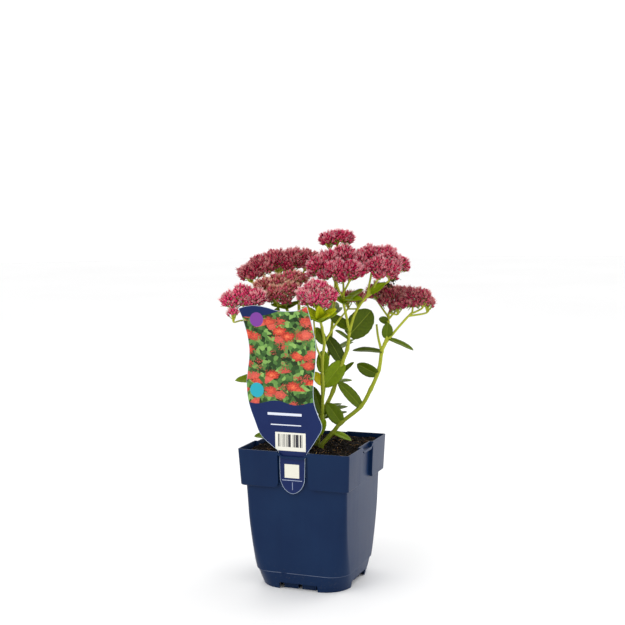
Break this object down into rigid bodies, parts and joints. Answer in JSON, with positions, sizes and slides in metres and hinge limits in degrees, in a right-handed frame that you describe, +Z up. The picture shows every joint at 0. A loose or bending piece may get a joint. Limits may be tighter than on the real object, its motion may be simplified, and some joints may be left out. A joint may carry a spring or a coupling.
{
  "type": "potted stonecrop plant",
  "caption": "Upright stonecrop with toothed fleshy leaves and flat-topped heads of magenta buds, standing in a square nursery pot with a blank plant label.",
  "frame": {"origin": "centre of the pot's base, on the surface it stands on", "axes": "+Z up, the labelled side of the pot faces -Y, the pot's sides lie along X and Y"},
  "size_m": [0.1813, 0.1341, 0.3369],
  "materials": {
    "pot_plastic": "satin moulded polypropylene",
    "peat": "loose peat with straw fibres",
    "label_plastic": "printed sheet plastic",
    "stem_and_leaf": "waxy succulent leaf",
    "flower": "fine velvety buds"
  },
  "bodies": {
    "root": {"pot": "pot_plastic", "soil": "peat", "plant_label": "label_plastic", "stem_right": "stem_and_leaf", "stem_middle": "stem_and_leaf", "stem_front": "stem_and_leaf", "stem_tall_left": "stem_and_leaf", "stem_left": "stem_and_leaf", "stem_far_left": "stem_and_leaf", "stem_rear": "stem_and_leaf", "head_top": "flower", "head_left": "flower", "head_centre": "flower", "head_centre_right": "flower", "head_low_left": "flower", "head_small_left": "flower", "head_mid_left": "flower", "head_front": "flower", "head_pale": "flower", "head_right": "flower", "head_far_right": "flower"}
  },
  "joints": []
}
